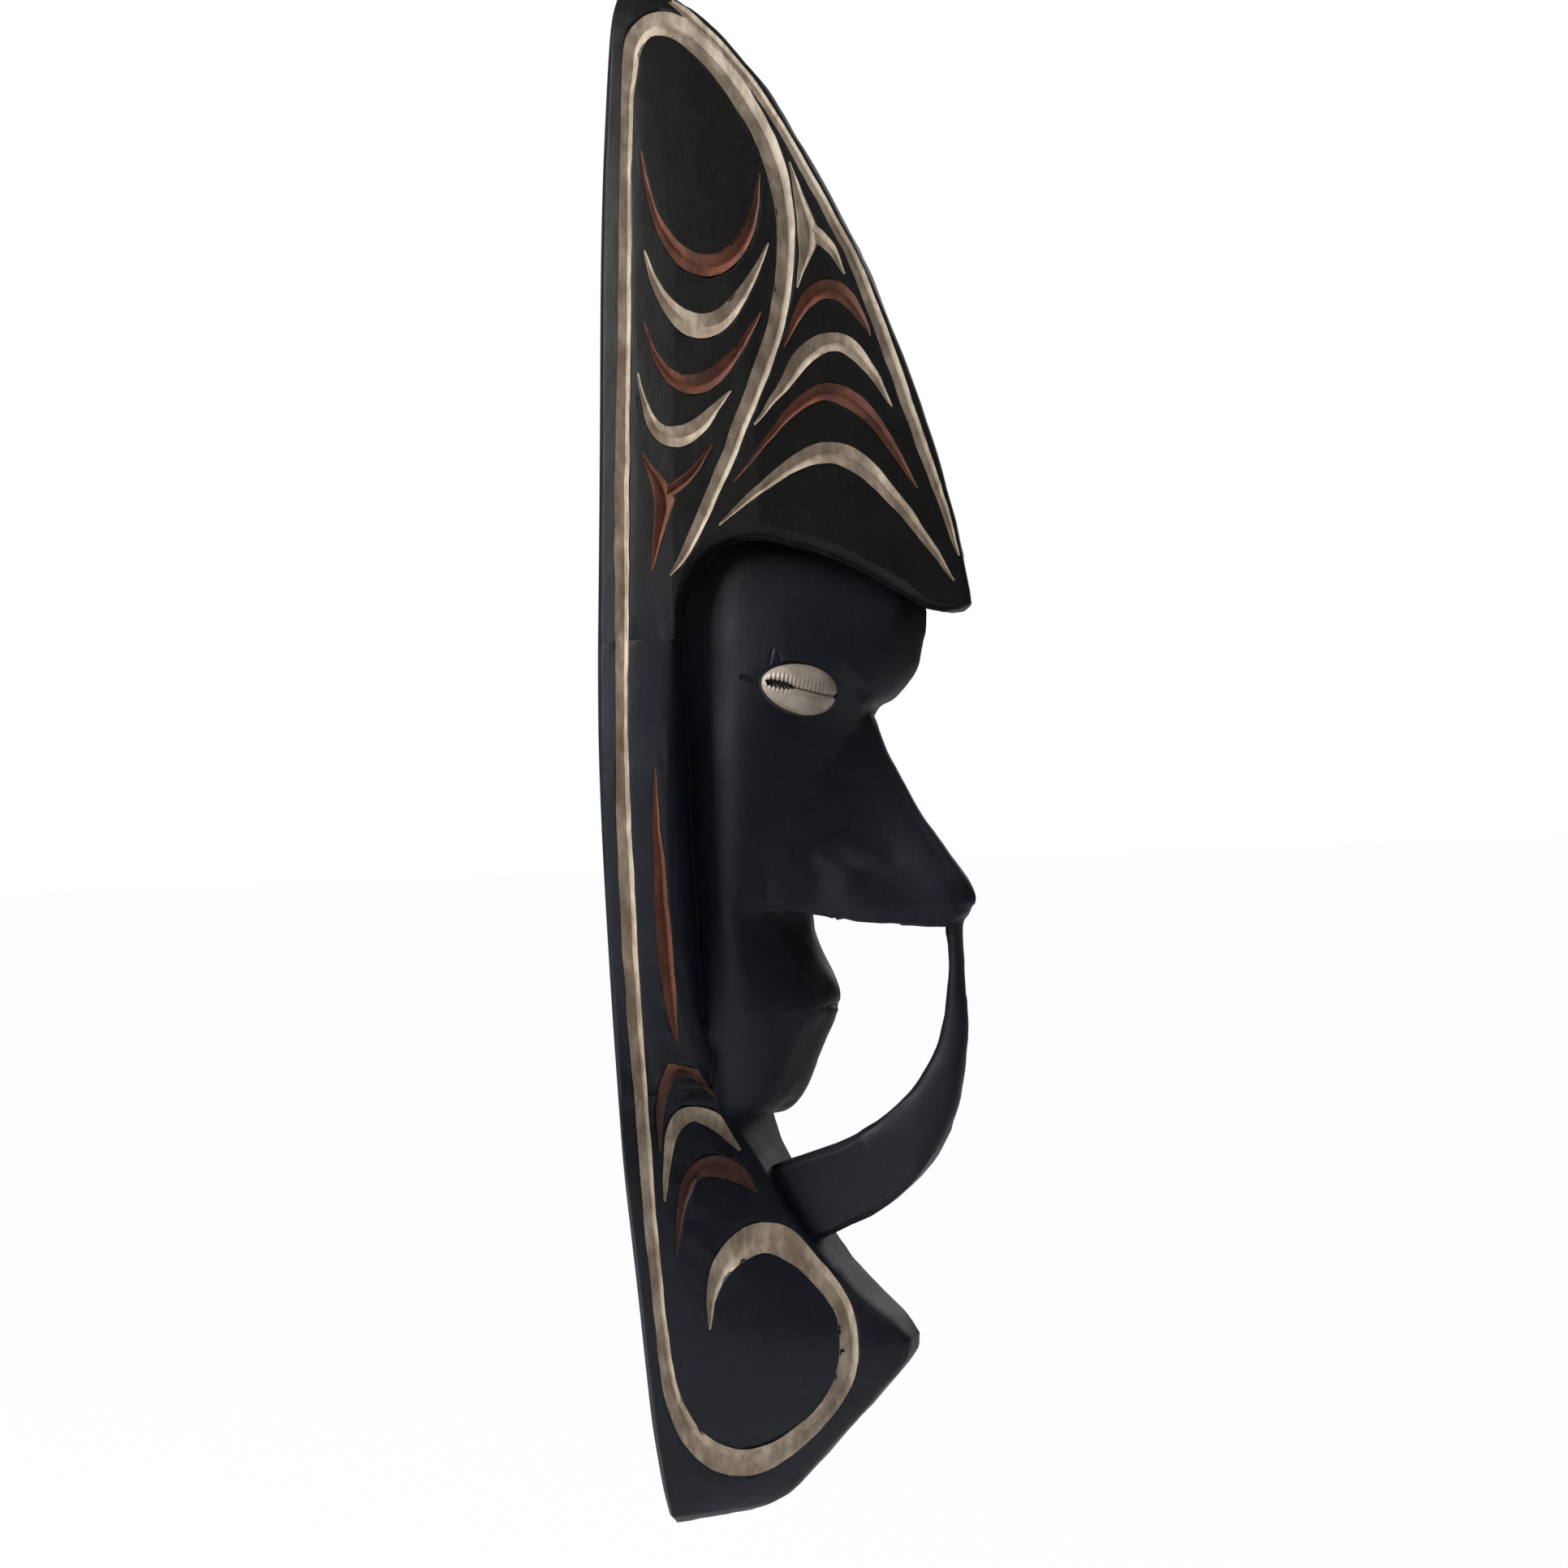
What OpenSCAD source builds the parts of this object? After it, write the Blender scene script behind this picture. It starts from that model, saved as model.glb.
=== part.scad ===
// Narrow wall mask with a tall crest, carved from one block.
// Painted V-cut channels, a cowrie shell in each eye, nose tip tied to the chest.
// X is left and right (the two halves mirror), -Y is forward, +Z is up.
// The origin is the mouth of the nail hole in the flat back.
// In the tables, h is the height above the foot datum and f is the reach forward of the back.

/* [Mask] */
// overall height
mask_h = 362; // [350:1:375]
// overall width across the back rim
mask_w = 77; // [70:1:84]
// reach of the crest tip forward of the back
mask_d = 79.5; // [75:0.5:84]
// small chamfer along the back rim
rim_cut = 1.2; // [0.6:0.1:1.6]

/* [Back] */
// height of the nail hole above the foot datum
nail_h = 333; // [330:1:336]
// nail hole diameter
nail_d = 6; // [4:0.5:7]
// nail hole depth
nail_depth = 14; // [10:1:18]
// wood left beside the hollow at the rim
rim_wall = 7.5; // [6.5:0.5:9]
// depth of the hollow at its deepest
hollow_d = 14.5; // [12:0.5:15]

/* [Channels] */
// channel depth as a share of its width
cut_ratio = 0.6; // [0.5:0.05:0.65]
// deepest cut
cut_max = 2.4; // [1.8:0.1:2.6]
// share of the channel depth filled by paint
paint_share = 0.3; // [0.2:0.05:0.45]

/* [Eyes] */
// cowrie length
shell_l = 17.8; // [17:0.1:19]
// cowrie width
shell_w = 11.6; // [11:0.1:12.5]
// cowrie thickness
shell_t = 9; // [8:0.5:9.5]
// putty width all round the shell
putty_w = 0.6; // [0.5:0.1:1.2]
// reach and height of the eye
eye_f = 42.4; // [41:0.2:44]
eye_h = 192.4; // [190:0.2:194]
// sideways place of the shell's middle
eye_x = 18.6; // [18:0.1:19.4]
// turn of the eye toward the front, and drop of its front end
eye_yaw = 30; // [24:1:34]
eye_drop = 14; // [8:1:18]

/* [Hidden] */

over = 3;
paint_lip = 0.1;
fork_step = 0.02;

// half width of the back rim at each height
rim = [[-1.5, 16], [1, 19.6], [8, 22.8], [16, 25], [24, 27.2], [40, 29.4], [55, 31.3], [86, 36],
       [120, 37.7], [152, 38.5], [174, 38.3], [189, 37.2], [204, 35.4], [233, 31.2], [264, 27],
       [294.5, 23.1], [318, 18.8], [342.5, 13.2], [352, 10.6], [357, 8.6], [360.5, 6]];
// front reach of the crest, and half its front edge
crest_f = [[200, 79.5], [212, 79.5], [222, 77.7], [237, 74.6], [253, 70.9], [268.5, 65.7],
           [284.5, 60.2], [300.5, 53.5], [317, 45.5], [334, 36.3], [342.5, 30.5], [351.5, 23.4],
           [356, 19], [360.5, 13]];
crest_e = [[200, 1], [250, 1.4], [300, 2.2], [340, 2.8], [360.5, 3]];
// front reach of foot, chest and side flange, and half their front edge
chest_f = [[-1.5, 13], [-0.7, 17.5], [1, 21.6], [3.5, 25.4], [8.2, 30], [16.5, 37.6], [24.7, 45.8],
           [32.7, 53.1], [37, 56], [40.4, 56.4], [44, 54], [49, 47.7], [55.4, 41], [63, 35.2],
           [72, 29.2], [85, 21.8], [94, 18.6], [101, 18], [230, 18]];
chest_e = [[-1.5, 5], [10, 5], [40, 5], [49, 7], [63, 8.4], [85, 10], [94, 12.6], [102, 18.5],
           [109, 25], [116, 30.5], [125, 34.4], [134, 36], [152, 36.6], [174, 36.4], [204, 33.1],
           [230, 29.6]];
chest_p = [[-1.5, 1.3], [44, 1.3], [63, 1.4], [85, 1.5], [100, 1.6], [117, 2]];
crest_p = 1.8;
flange_f = 18;
flange_round = 2.2;
valley = 1.4;
// heights of the stations that the board is lofted through
chest_h = [-1.5, -0.7, 1, 3.5, 8.2, 16.5, 24.7, 32.7, 37, 40.4, 44, 49, 55.4, 63, 72, 85, 94, 101.4];
flange_h = [102, 109, 116, 125, 134, 152, 174, 189, 204.9];
crest_h = [205, 222, 237, 253, 268.5, 284.5, 300.5, 317, 326, 334, 342.5, 347, 351.5, 356, 358.6,
           360.5];
board_h = concat(chest_h, flange_h, crest_h);

sz = mask_h / (max(board_h) - min(board_h));
sx = mask_w / (2 * max([for (r = rim) r[1]]));
sf = mask_d / max([for (r = crest_f) r[1]]);

function is_crest(h) = h > (max(flange_h) + min(crest_h)) / 2;
function is_flat(h) = h > (max(chest_h) + min(flange_h)) / 2 && !is_crest(h);
function reach(h) = lookup(h, is_crest(h) ? crest_f : chest_f);
function edge(h) = lookup(h, is_crest(h) ? crest_e : chest_e);
function power(h) = is_crest(h) ? crest_p : lookup(h, chest_p);
function clamp(v) = max(0, min(1, v));
// how far the front edge of the flange is rounded, fading out below the crest
function round_share(h) = 1 - 0.97 * clamp((h - 160) / (max(flange_h) - 160));
// sideways place of the carved side at one station
function bow(f, h) =
  let (w = lookup(h, rim), s = clamp(f / reach(h)))
  w - (w - edge(h)) * pow(s, power(h));
function place(x, f, h) = [x * sx, -f * sf, (h - nail_h) * sz];

// smooth curve through a list of points
function spline_at(p, i, t) =
  let (n = len(p) - 1, a = p[max(i - 1, 0)], b = p[i], c = p[i + 1], d = p[min(i + 2, n)])
  0.5 * (2 * b + (c - a) * t + (2 * a - 5 * b + 4 * c - d) * t * t
         + (3 * b - a - 3 * c + d) * t * t * t);
function spline(p, k) =
  concat([for (i = [0:len(p) - 2], j = [0:k - 1]) spline_at(p, i, j / k)], [p[len(p) - 1]]);

// closed solid through equal rings of points, ends fanned to their middles
module skin(rings) {
  n = len(rings[0]);
  m = len(rings);
  pts = concat([for (r = rings) each r], [middle(rings[0])], [middle(rings[m - 1])]);
  sides = [for (i = [0:m - 2], j = [0:n - 1])
    let (a = i * n + j, b = i * n + (j + 1) % n, c = b + n, d = a + n)
    each [[a, b, c], [a, c, d]]];
  low = [for (j = [0:n - 1]) [n * m, (j + 1) % n, j]];
  high = [for (j = [0:n - 1]) [n * m + 1, (m - 1) * n + j, (m - 1) * n + (j + 1) % n]];
  polyhedron(pts, concat(low, sides, high), convexity = 12);
}
// the same for a thin V-shaped ring of four points: edge, bottom, edge, inner bottom
module vee_skin(rings) {
  m = len(rings);
  e = 4 * (m - 1);
  outer = [for (i = [0:m - 2], j = [0, 1])
    let (a = i * 4 + j) each [[a, a + 1, a + 5], [a, a + 5, a + 4]]];
  inner = [for (i = [0:m - 2], j = [2, 3])
    let (a = i * 4 + j, b = i * 4 + (j + 1) % 4) each [[a, b, a + 4], [b, b + 4, a + 4]]];
  ends = [[1, 0, 3], [2, 1, 3], [e, e + 1, e + 3], [e + 1, e + 2, e + 3]];
  polyhedron([for (r = rings) each r], concat(ends, outer, inner), convexity = 12);
}
function middle(r) = [for (k = [0:2]) (max([for (p = r) p[k]]) + min([for (p = r) p[k]])) / 2];

// ring from a half outline of [x, f] pairs that runs from the back middle to the front middle
function ring(half, h) = concat(
  [for (p = half) place(p[0], p[1], h)],
  [for (i = [len(half) - 2:-1:1]) place(-half[i][0], half[i][1], h)]);

// one solid made of a side outline of [f, h] pairs, right across the mask
module across(outline, half_w = 60) {
  rotate([90, 0, 90])
    translate([0, 0, -half_w])
      linear_extrude(2 * half_w)
        polygon([for (p = outline) [-p[0] * sf, (p[1] - nail_h) * sz]]);
}

// ---- board: foot, chest, flange and crest ----
// side outline at one station, from the back rim to the front edge
function side_half(h) =
  let (w = lookup(h, rim), r = reach(h), k = is_flat(h) ? 1 : min(1, r / 30))
  concat([[w - rim_cut, 0], [w - 0.05, 1.5 * k]],
         [for (f = [9.5, flange_f - (is_flat(h) ? flange_round * round_share(h) : 0)])
            [bow(f * k, h), f * k]],
         is_flat(h) ? [] : [for (t = [1:3]) let (f = flange_f * k + (r - 0.7 - flange_f * k) * t / 3)
                             [bow(f, h), f]]);
function board_half(h) =
  let (e = edge(h), r = reach(h), dip = flange_f - valley * clamp((h - 104) / 10))
  concat([[0, 0]], side_half(h),
         is_flat(h) ? [[e - 1, flange_f - 0.7 * round_share(h)], [e - 3.6, flange_f], [e * 0.78, dip + 0.5],
                       [e * 0.5, dip], [0, dip]]
                    : [[max(0.4, e - 0.9), r], [0, r]]);

// sideways place of the carved side anywhere, read between the two nearest stations
function panel(f, h) =
  let (i = max(0, min(len(board_h) - 2, len([for (v = board_h) if (v <= h) 1]) - 1)),
       a = side_half(board_h[i]), b = side_half(board_h[i + 1]),
       t = (h - board_h[i]) / (board_h[i + 1] - board_h[i]),
       m = min(len(a), len(b)) - 1)
  lookup(f, [for (k = [0:m]) let (p = a[k] * (1 - t) + b[k] * t) [p[1], p[0]]]);

// cut under the brim and in front of the flange
brim_bevel = 4.4;
brim_lip = 0.55;
brow_h = max(flange_h) - 0.5;
cove = [[brow_h - 0.1, 0.05], [208, 0.2], [211, 1], [213, 2.3]];
function cove_half(h, lift) =
  let (e = lookup(h, chest_e), d = flange_f - valley + lift)
  [[0, d], [e * 0.5, d], [e * 0.78, min(flange_f, d + 0.5)], [e - 3.6, flange_f + 0.02],
   [e - 3.6, 26], [0, 26]];
brim_low = [[18.4, 206], [18.4, 211], [19.6, 217], [21.6, 221.4], [25, 225], [30, 227.4],
            [36, 227], [41, 225.4], [46, 224], [51, 221.8], [56, 219], [61, 215.6], [65.5, 212.6],
            [69.5, 209.4], [73, 208.4], [76.5, 208.6], [79, 210], [84, 214]];
brim_out = brim_low[len(brim_low) - 1][0];

// ---- face ----
// for each height: valley beside the flange, cheek back, cheek top, hollow, nose root, ridge, front
face = [
  [92.6, [[13, 11], [17, 13], [20, 12.5], [22.2, 10], [23.9, 7], [25.2, 4], [26.6, 0]]],
  [94, [[14.5, 14], [18, 16], [21.8, 15.5], [24.6, 12], [26.2, 8], [27.7, 4.4], [29.3, 0]]],
  [97, [[16, 17.5], [20, 18.5], [24.2, 17.5], [27.4, 13.5], [29.1, 9.5], [30.8, 5], [32.6, 0]]],
  [103, [[16, 20], [21.5, 21.5], [26.3, 20.2], [29.3, 15.5], [31.3, 10.5], [33.2, 5.5], [35.2, 0]]],
  [110, [[16, 21], [22.5, 23.3], [28, 22.2], [31.9, 16.6], [34.2, 11], [36.2, 5.8], [38.3, 0]]],
  [114.5, [[16, 24], [23, 24.2], [28.5, 23], [33, 17], [36.2, 11.3], [38.5, 6.2], [40.8, 0]]],
  [116.9, [[16, 24.1], [23.3, 24.6], [28.8, 23.4], [33.4, 17.3], [37.2, 11.6], [39.8, 6.2], [42.1, 0]]],
  [118.3, [[16, 24.2], [23.5, 24.8], [29, 23.6], [33.6, 17.4], [37.5, 11.7], [39.5, 6.2], [40.7, 0]]],
  [119.7, [[16, 24.3], [23.7, 25], [29, 23.8], [33.8, 17.4], [38, 11.8], [40.8, 6.4], [43.3, 0]]],
  [122.5, [[16, 24.4], [24, 25.3], [29, 24.2], [33.8, 17.8], [37.8, 12], [40.4, 6.6], [42.9, 0]]],
  [128.5, [[16, 24.5], [24.4, 25.8], [28.8, 24.8], [32.4, 18.2], [34.9, 12], [37.2, 6.4], [39.6, 0]]],
  [135, [[16, 24.6], [24, 26], [27.2, 25], [29.4, 18.6], [31.6, 12], [33.8, 6], [36.2, 0]]],
  [140, [[16, 24.6], [24, 26.2], [26.8, 25.2], [28.8, 19], [31, 12.5], [33.2, 6], [35.4, 0]]],
  [150, [[16, 24.6], [24.6, 26.4], [29, 26], [33, 19.4], [37, 12.6], [39.6, 6.4], [41.5, 0]]],
  [162, [[16, 24.6], [25.2, 26.4], [31, 26.2], [37, 20], [41.5, 12.8], [44.2, 6.6], [45.5, 0]]],
  [174, [[16, 24.6], [25, 26], [31.3, 26], [38.4, 20.2], [44, 12.8], [47.2, 6.8], [48.8, 0]]],
  [182, [[16, 24.6], [25, 25.4], [31.4, 25.6], [39.6, 20], [46, 12.8], [50, 6.8], [51.8, 0]]],
  [186.8, [[16, 24.6], [25, 24.8], [31.4, 25.2], [40.4, 19.8], [47.6, 12.8], [52.2, 6.8], [54, 0]]],
  [189.4, [[16, 24.6], [25, 24.6], [31.5, 24.9], [41, 19.9], [49.6, 13], [56.2, 7.4], [58.4, 0]]],
  [192.6, [[16, 24.6], [25, 24.4], [31.6, 24.7], [41.8, 20.3], [52, 13.6], [60, 8.4], [64.2, 0]]],
  [196.5, [[16, 24.6], [25, 24.2], [31.8, 24.4], [42.6, 20.6], [53.6, 14.4], [62, 8.8], [66.2, 0]]],
  [201, [[16, 24.6], [25, 24], [32, 24], [43, 20.6], [54.4, 14.4], [63, 8.6], [67.2, 0]]],
  [208, [[16, 24.6], [25, 23.4], [32.4, 23], [43.6, 19.4], [55, 13.2], [64, 7.6], [68.4, 0]]],
  [216, [[16, 24.2], [25, 22.2], [32.4, 21.4], [43.6, 17.4], [54.4, 11.2], [62.6, 6], [66.5, 0]]],
  [224, [[16, 20.5], [25, 20.4], [32, 19], [42, 14.6], [52, 9], [59, 4.6], [62, 0]]],
  [232, [[16, 17], [23, 16.4], [29, 14.6], [37, 10.6], [45, 6], [50, 3], [52, 0]]]];
function face_half(r) = concat([[0, 12], [r[0][1], 12]], [for (q = spline(r, 2)) [q[1], q[0]]]);

// ---- nose: same kind of rows, trimmed below by its own slanted underside ----
nose = [
  [134, [[24, 16], [32, 13], [42, 12], [51, 10.6], [60, 8.2], [67, 6.2], [72, 3.9], [73.6, 0]]],
  [139, [[24, 18], [32, 15.2], [42, 12.4], [51, 12], [60, 9], [68, 6.5], [73.6, 4.3], [75.6, 0]]],
  [143, [[24, 19.5], [33, 16], [42, 12.4], [50, 13.3], [59.5, 9.2], [68.5, 6.9], [74.6, 4.9], [77.1, 0]]],
  [147, [[25, 21], [34, 16.8], [42, 12.2], [49, 13.1], [58, 8.3], [66.8, 5.8], [73, 4], [75.2, 0]]],
  [151.5, [[26, 22], [35, 17.4], [42, 12], [48, 11.8], [56, 6.9], [64, 4.9], [70, 3.4], [72.1, 0]]],
  [158, [[27, 23], [36, 18], [41.5, 12.8], [47, 9.6], [54, 6], [60.4, 4.4], [65.6, 3], [67.3, 0]]],
  [166, [[28, 24], [37, 18.6], [42, 13.6], [46.6, 9.4], [52, 6], [57.2, 4.1], [61.2, 2.6], [62.6, 0]]],
  [174, [[28, 24], [37.4, 19.6], [42.8, 14], [46.4, 9.8], [50.4, 6.2], [54.2, 4.1], [57.2, 2.5], [58.5, 0]]],
  [181, [[28, 24], [37.6, 20.4], [43.6, 14.2], [46.6, 10.2], [49.8, 6.6], [52.8, 4.2], [55, 2.4], [56, 0]]],
  [187, [[28, 22], [36, 18], [41, 13.6], [45, 9.8], [48.4, 6.6], [50.8, 4], [52.6, 2.2], [53.4, 0]]],
  [193, [[27, 9], [31, 8.6], [34, 8], [38, 6.6], [41.6, 5], [44.6, 3.2], [46.6, 1.6], [47.4, 0]]]];
function nose_half(r) = concat([[0, 22], [r[0][1], 22]], [for (q = spline(r, 2)) [q[1], q[0]]]);
nose_low = [[20, 145.4], [30, 143.2], [36, 141.4], [45, 139.3], [53, 137.8], [62, 136.6],
            [69, 135.9], [72.4, 137.2], [74.8, 139.2], [76.4, 141.4], [78, 143.6], [82, 143.6],
            [82, 128], [20, 128]];

// ---- tie from the nose tip round to the chest: reach, height, width, half thickness ----
tie = [[71, 141, 4, 3.2], [71, 137, 3.9, 3], [71.1, 131, 3.8, 3], [71, 124, 4.4, 3.1],
       [70.7, 117, 5.4, 3.3], [69.8, 110.5, 6.8, 3.6], [67.9, 103.5, 9, 4], [65, 97, 11.6, 4.4],
       [60.8, 90.4, 14, 4.8], [55.4, 84.8, 16.2, 5.2], [48.4, 79.4, 18, 5.6],
       [40, 75.4, 19, 6], [31.5, 72.6, 19.6, 6.2], [22, 70.5, 18, 6.2]];
function tie_rings(p) = [for (i = [0:len(p) - 1])
  let (a = p[max(i - 1, 0)], b = p[min(i + 1, len(p) - 1)], d = [b[0] - a[0], b[1] - a[1]],
       n = [-d[1], d[0]] / norm(d), c = p[i], w = c[2] / 2, t = c[3], v = min(1.5, c[2] * 0.3))
  [for (q = [[w, t - v], [w - v, t], [v - w, t], [-w, t - v], [-w, v - t], [v - w, -t],
             [w - v, -t], [w, v - t]])
     place(q[1], c[0] + n[0] * q[0], c[1] + n[1] * q[0])]];

// ---- hollow at the back: height and depth share ----
hollow = [[14, 0.1], [18, 0.34], [26, 0.54], [45, 0.72], [75, 0.82], [110, 0.92], [150, 1], [205, 1],
          [245, 0.93], [275, 0.78], [297, 0.57], [308, 0.38], [313, 0.12]];
hollow_end = [[14, 0.3], [22, 0.85], [34, 1], [285, 1], [305, 0.8], [313, 0.3]];
function hollow_half(h, d) =
  let (w = (lookup(h, rim) - rim_wall) * lookup(h, hollow_end))
  concat([[0, -over], [w, -over]],
         [for (a = [0:18:90]) [w * cos(a), hollow_d * d * sin(a)]]);

// ---- painted channels: middle line as reach, height and width ----
back_line = [
  [15.2, 46.8, 0.4], [15.7, 52.5, 1.6], [17, 58.3, 3.4], [19.7, 63.6, 5.8], [24.4, 66.8, 8],
  [29, 65.4, 6.2], [32, 62.4, 4.6], [35, 59.2, 3.8], [38.8, 54.8, 3.6],
  [42.3, 50, 3.6], [44.2, 45, 4], [44.3, 39, 3.8], [42.6, 33, 4], [39.5, 27.7, 3.6],
  [35, 22.8, 3.8], [30, 18.4, 4.4], [25, 14.9, 5.6], [19.2, 12.8, 7.6], [13.2, 14.8, 7.8],
  [8.5, 21, 5.2], [6, 29, 3.6], [5.1, 38, 3], [5, 48, 2.4], [5, 58, 2.5],
  [4.9, 68, 2.5], [4.7, 80, 2.4], [5, 95, 2.4], [5.4, 112, 3], [5.8, 130, 3.6], [6, 148, 3.8],
  [6, 166, 3.4], [6.1, 184, 2.8], [6.3, 200, 3], [6.2, 217, 3.4], [6.1, 236, 3.5], [6.2, 257, 3.4],
  [6.5, 277, 3.1], [6.5, 297, 3.2], [6, 317, 2.6], [5.9, 334, 3], [5.9, 345, 4.2], [7.4, 350.6, 6.2],
  [11.4, 353.2, 7.6], [17, 350.7, 5.6], [21.4, 346.4, 4.8], [27.2, 339, 4.6],
  [32.5, 330.5, 4.4], [36.8, 321.8, 4.3], [39.9, 312.8, 4.1], [41.6, 303.6, 3.8], [42, 293, 3.7],
  [41.4, 283.4, 3.6], [39.8, 274.5, 3.7], [36.8, 265, 3.8], [33.3, 255, 3.4], [29.7, 245, 3.2],
  [25.6, 235, 2.9], [21.6, 226, 2.5], [19, 221.6, 1.4], [17.2, 219.2, 0.4]];
front_line = [
  [13.6, 358.6, 1.2], [16.2, 356.4, 2], [20.3, 352.2, 2.2], [26.8, 344.6, 2], [34.2, 334.5, 1.8],
  [40, 324.6, 1.8], [44.9, 314.6, 1.9], [49.8, 304.7, 2.1], [54.4, 295, 2.3], [58.3, 285, 2.5],
  [61.4, 275.1, 2.7], [64.6, 265.2, 2.7], [67.6, 255.1, 2.4], [70.4, 245.1, 2.3], [73.4, 235.1, 2],
  [76, 225.4, 1.2], [77.2, 221, 0.4]];
lime = [
  [[41.9, 316, 0.4], [43.9, 308.8, 1.6], [45.3, 302.8, 3], [46.4, 298, 4.6], [46.3, 294.2, 3.2],
   [45.3, 289.9, 1.5], [44.4, 284.9, 0.4]],
  [[46.4, 299.6, 2.2], [48.4, 297.4, 3.4], [50.8, 294.7, 2.6], [52.5, 291.7, 1.3], [54, 288.2, 0.4]],
  [[35.6, 252.8, 0.4], [38.6, 257, 1.3], [41.9, 262.1, 2.6], [44.9, 267.4, 4.2], [48.2, 271.1, 5],
   [51.9, 272.3, 5.2], [54.8, 271.2, 4.2], [57.6, 268.1, 3], [60.7, 263, 1.8], [64, 256.3, 0.4]],
  [[28, 230.1, 0.4], [32.5, 234.6, 1.4], [37.4, 238.7, 2.2], [42.4, 242.7, 3], [46.9, 245.3, 4.4],
   [50.8, 246.2, 5.2], [54.8, 245, 5], [58.8, 241.9, 4.2], [63.1, 236.6, 3], [67.9, 229.3, 2.4],
   [72.5, 221.8, 1.6], [76, 215.4, 0.4]],
  [[11.1, 295.4, 0.4], [13, 289.2, 1.6], [15.5, 283.7, 2.6], [18.7, 279.4, 4.2], [22.1, 276.9, 6],
   [25.4, 276.4, 6.4], [28.8, 278.2, 5], [32.2, 282.2, 3.2], [35.4, 288.1, 1.8], [38.1, 295.5, 0.4]],
  [[9.8, 266.6, 0.4], [11, 260.2, 1.2], [12.5, 255.4, 2.2], [14.8, 252.2, 3.6], [17.7, 250.9, 5],
   [20.9, 251.3, 5], [24.1, 253.6, 3.8], [27.2, 257.2, 2.2], [30.5, 261.4, 0.4]],
  [[8, 77, 0.4], [8.3, 83, 1.1], [8.9, 89.5, 1.7], [9.8, 93.6, 2.4], [12, 96.7, 4.4],
   [14.9, 95.5, 4], [17, 91.8, 2], [20, 86, 0.4]]];
ochre = [
  [[10.7, 248.1, 0.4], [12.6, 243.9, 1.6], [14.8, 240.6, 3.4], [16, 236.6, 4.8], [15.4, 232, 3.4],
   [14.3, 226.9, 1.8], [13.1, 220.7, 0.4]],
  [[26.5, 248.8, 0.4], [23.5, 244, 1.6], [20.6, 240.8, 2.6], [15.8, 237.9, 2.8]],
  [[41.6, 270.7, 0.4], [43.6, 276, 1.4], [45.4, 280.6, 2.8], [48, 284.1, 4.4], [51.1, 285, 5.2],
   [54, 283.3, 4.2], [56.5, 279.7, 2.6], [58.4, 275.9, 1.2], [59.3, 273.1, 0.4]],
  [[31.2, 240, 0.4], [35.5, 245.6, 0.9], [40.3, 252, 1.6], [44.5, 257.2, 2.8], [48.3, 259.9, 4.2],
   [51.8, 260.3, 4.8], [55.8, 258.2, 4.2], [59.8, 253.9, 3], [64, 247.2, 2], [68.8, 237, 0.4]],
  [[9.6, 320.1, 0.4], [11.4, 310.4, 1], [13.8, 302.6, 1.7], [16.9, 296.4, 3], [20.8, 292.3, 4.8],
   [25.4, 290.5, 6], [29.7, 291.9, 5], [33.1, 296.3, 3.4], [35.2, 302.8, 2], [35.9, 312.8, 0.4]],
  [[11.1, 278.5, 0.4], [13.2, 271.4, 1.2], [15.6, 266.9, 2.2], [18.7, 263.9, 3.6], [22.3, 262.8, 5.2],
   [25.9, 263.9, 4.6], [29.3, 266.7, 3.4], [32.7, 271.3, 2], [36.8, 279.2, 0.4]],
  [[13.6, 176, 0.4], [13.8, 165, 1.4], [13.8, 154, 2.6], [13.9, 143, 3.4], [13.9, 132, 3.6],
   [13.9, 121, 2.4], [13.7, 113.5, 0.4]],
  [[7.4, 88.5, 0.4], [8, 96.5, 1.2], [9.2, 103.4, 2], [11.8, 107.6, 3], [14.8, 106, 2.4],
   [16, 102.4, 1.2], [17, 98.6, 0.4]],
  [[9.5, 64.5, 0.4], [10.2, 71, 1], [11, 77, 1.7], [12.3, 82, 3], [15.2, 84.4, 5.6], [19.2, 82, 3.8],
   [22.3, 78.4, 1.5], [24, 76.3, 0.4]]];

function cut_deep(w) = min(w * cut_ratio, cut_max);
function side(q, inset) = place(panel(q[0], q[1]) - inset, q[0], q[1]);
// for each point of a line: its two edges and its bottom on the side panel
function vee(p) = [for (i = [0:len(p) - 1])
  let (a = p[max(i - 1, 0)], b = p[min(i + 1, len(p) - 1)], d = [b[0] - a[0], b[1] - a[1]],
       n = [d[1], -d[0]] / norm(d) * p[i][2] / 2, c = [p[i][0], p[i][1]])
  [c + n, c, c - n, cut_deep(p[i][2])]];
// cutter with straight walls that run a little way out past the surface
module channel(p) {
  skin([for (v = vee(p))
    let (b = side(v[1], v[3]), k = 1 + max(0.3, 0.35 / v[3]))
    [b + (side(v[0], 0) - b) * k, b, b + (side(v[2], 0) - b) * k, side(v[1], -1.6)]]);
}
module paint(p) {
  vee_skin([for (v = vee(p)) [side(v[0], 0), side(v[1], v[3]), side(v[2], 0),
                              side(v[1], v[3] * (1 - paint_share))]]);
}

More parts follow.
